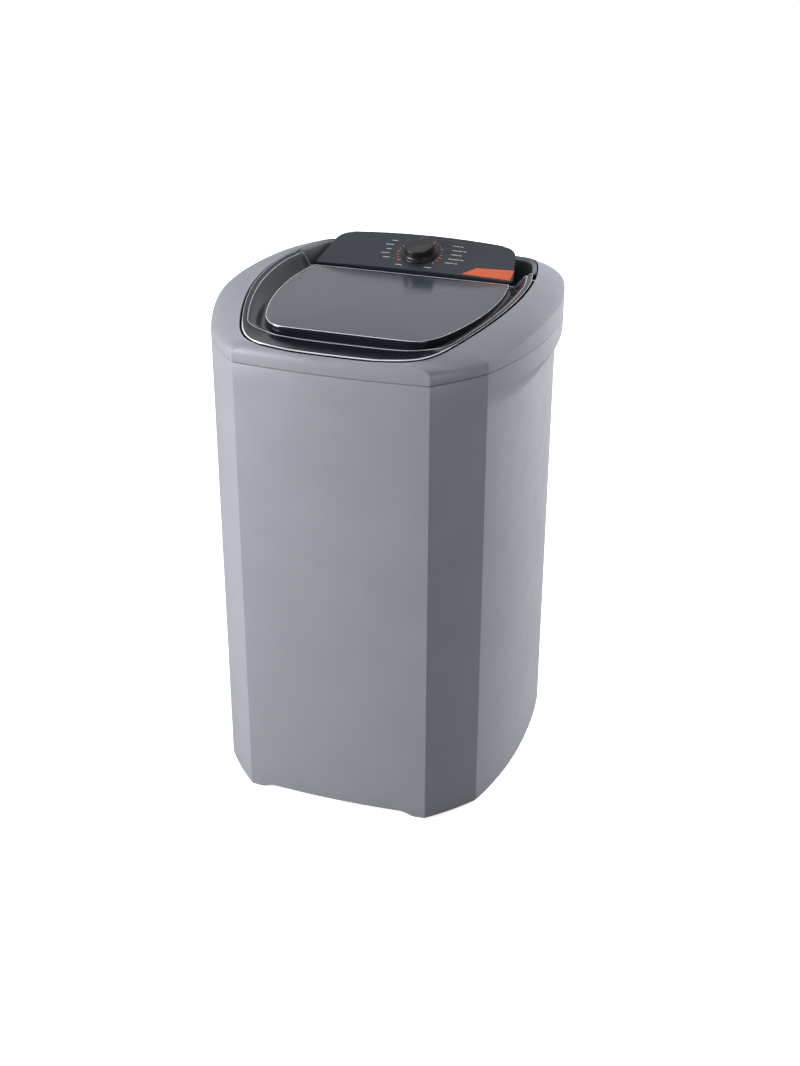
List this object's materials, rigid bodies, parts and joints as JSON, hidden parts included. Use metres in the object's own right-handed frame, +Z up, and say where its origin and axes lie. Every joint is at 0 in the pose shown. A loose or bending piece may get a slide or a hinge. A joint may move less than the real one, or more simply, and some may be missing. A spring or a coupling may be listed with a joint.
{
  "type": "top load washing machine",
  "caption": "Grey free-standing top load washer: flared cabinet with a moulded top ring, smoked flip-up lid, slanted rear control panel with one timer knob, tub and belt-driven agitator.",
  "frame": {"origin": "centre of the footprint, on the floor the feet stand on", "axes": "+Z is up, the front faces -Y, and +X is to the right seen from the front"},
  "size_m": [0.622, 0.627, 0.9724],
  "materials": {
    "shell_plastic": "metallic grey moulded plastic, satin gloss",
    "collar_plastic": "dark grey moulded plastic",
    "base_plastic": "black structural plastic",
    "foot_rubber": "black rubber",
    "lid_plastic": "polished smoke grey plastic",
    "pin_steel": "zinc plated steel",
    "console_plastic": "dark slate plastic with a light grain",
    "badge_plastic": "orange film over plastic",
    "knob_plastic": "black plastic, satin gloss",
    "white_plastic": "natural white moulded plastic",
    "tub_plastic": "white polypropylene",
    "cap_plastic": "dark grey plastic",
    "bush_bronze": "sintered bronze",
    "cast_alloy": "die cast alloy",
    "belt_rubber": "black V belt rubber",
    "frame_paint": "dark painted steel pressing",
    "rotor_iron": "machined laminated iron",
    "strap_steel": "zinc plated strip",
    "filter_plastic": "blue mesh frame"
  },
  "bodies": {
    "base": {"cabinet": "shell_plastic", "top_ring": "shell_plastic", "tub_collar": "collar_plastic", "base_plate": "base_plastic", "foot_1": "foot_rubber", "foot_2": "foot_rubber", "foot_3": "foot_rubber", "foot_4": "foot_rubber", "hinge_pin_left": "pin_steel", "hinge_pin_right": "pin_steel", "lid_bumper_left": "foot_rubber", "lid_bumper_right": "foot_rubber", "console_housing": "console_plastic", "control_panel": "console_plastic", "panel_badge": "badge_plastic", "timer_unit": "white_plastic", "wash_tub": "tub_plastic", "tub_leg_1": "base_plastic", "tub_leg_2": "base_plastic", "tub_leg_3": "base_plastic", "tub_leg_4": "base_plastic", "shaft_seal": "foot_rubber", "upper_bush": "bush_bronze", "lower_bush": "bush_bronze", "bearing_housing": "cast_alloy", "drive_belt": "belt_rubber", "drive_frame": "frame_paint", "motor_housing": "frame_paint", "capacitor": "white_plastic", "capacitor_strap": "strap_steel", "lint_filter_guide": "white_plastic", "drain_sump": "base_plastic", "drain_pipe": "cap_plastic", "drain_spigot": "base_plastic", "cord_gland": "foot_rubber", "terminal_block": "white_plastic", "rear_cover": "shell_plastic", "cover_screws": "pin_steel", "ring_screws": "pin_steel", "base_screws": "pin_steel", "frame_bolts": "pin_steel", "motor_bolts": "pin_steel"},
    "lid": {"lid": "lid_plastic"},
    "knob": {"timer_knob": "knob_plastic", "timer_shaft": "pin_steel"},
    "agitator": {"agitator": "tub_plastic", "agitator_cap": "cap_plastic", "agitator_screw": "pin_steel", "agitator_shaft": "pin_steel", "driven_pulley": "cap_plastic", "pulley_nut": "pin_steel"},
    "rotor": {"motor_rotor": "rotor_iron", "motor_shaft": "pin_steel", "motor_pulley": "cast_alloy"},
    "filter": {"lint_filter": "filter_plastic"}
  },
  "joints": [
    {"name": "lid_hinge", "type": "hinge", "parent": "base", "child": "lid", "pos_m": [0, 0.147, 0.93], "axis": [-1, 0, 0], "range_deg": [0, 95]},
    {"name": "knob_turn", "type": "hinge", "parent": "base", "child": "knob", "pos_m": [0, 0.20467, 0.93915], "axis": [0, 0.3123, -0.95], "range_deg": [0, 330]},
    {"name": "agitator_spin", "type": "hinge", "parent": "base", "child": "agitator", "pos_m": [0, -0.01, 0.338], "axis": [0, 0, 1], "continuous": true},
    {"name": "motor_spin", "type": "hinge", "parent": "base", "child": "rotor", "pos_m": [-0.163, -0.01, 0.15], "axis": [0, 0, 1], "continuous": true},
    {"name": "filter_slide", "type": "slide", "parent": "base", "child": "filter", "axis": [0, 0, 1], "range_m": [0, 0.1]}
  ],
  "couplings": [
    {"joint": "motor_spin", "follows": "agitator_spin", "ratio": 4}
  ]
}
